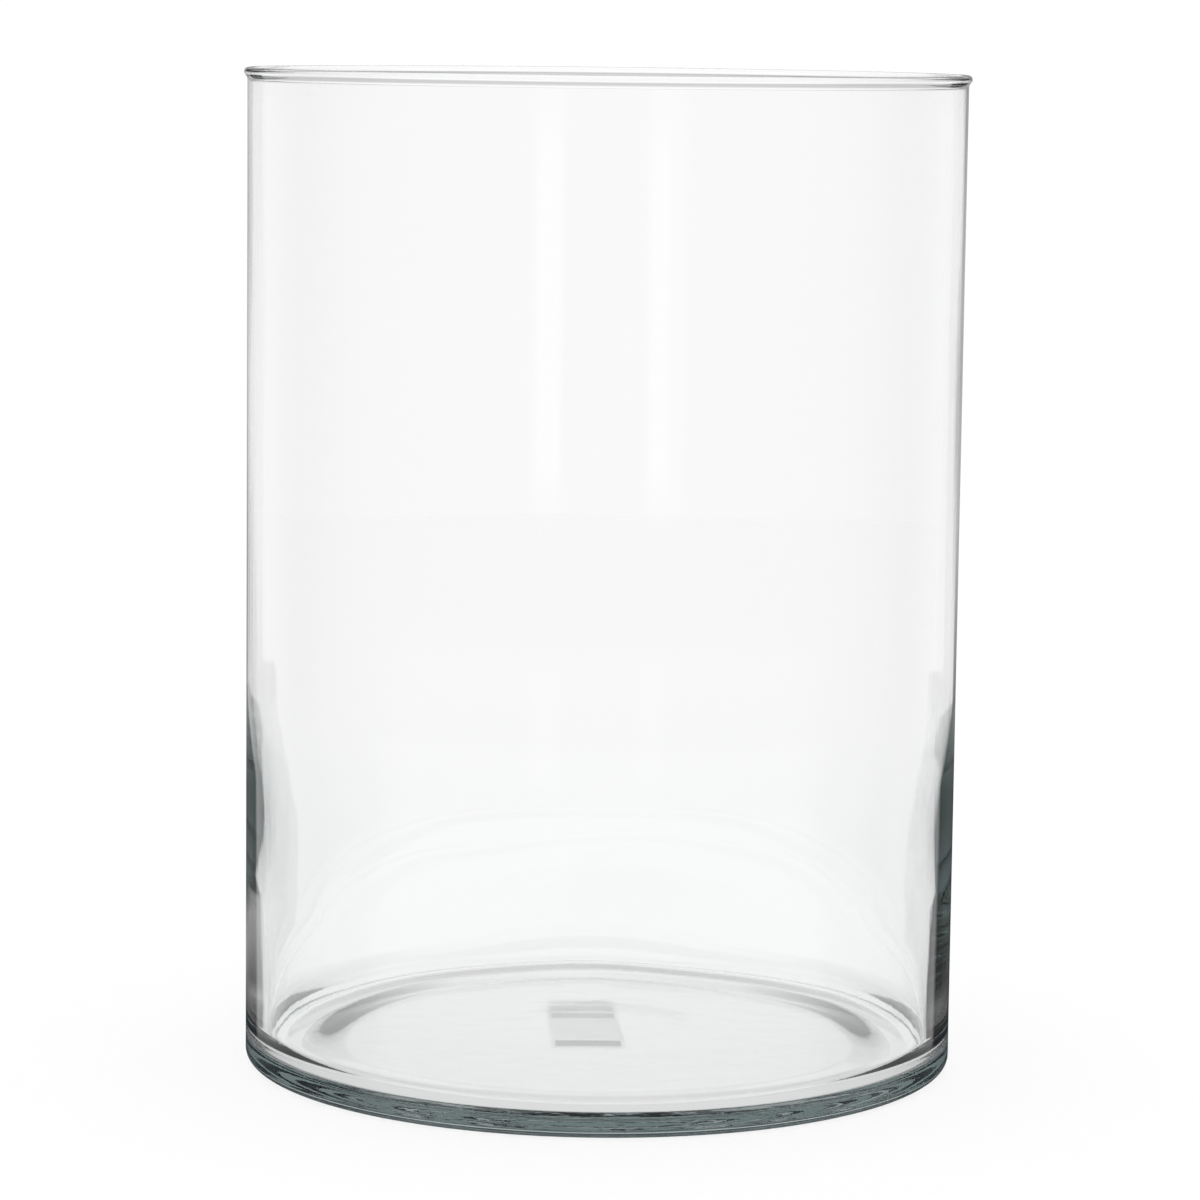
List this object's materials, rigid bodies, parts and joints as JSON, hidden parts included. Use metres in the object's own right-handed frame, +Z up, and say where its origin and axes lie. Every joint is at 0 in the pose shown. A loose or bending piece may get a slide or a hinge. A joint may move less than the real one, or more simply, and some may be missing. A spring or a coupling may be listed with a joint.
{
  "type": "glass cylinder vase",
  "caption": "Straight cylindrical vase of clear glass with a fire-polished rim, a wall that thickens towards a heavy floor, and a paper label under the floor.",
  "frame": {"origin": "centre of the foot, on the surface the vase stands on", "axes": "+Z runs up the axis of the cylinder, from the foot to the mouth; the label's long side lies near Y"},
  "size_m": [0.217, 0.217, 0.3],
  "materials": {
    "clear_glass": "clear soda-lime glass with a faint blue-green tint, fire-polished",
    "label_paper": "matt coated label paper"
  },
  "bodies": {
    "root": {"glass_vessel": "clear_glass", "base_label": "label_paper"}
  },
  "joints": []
}
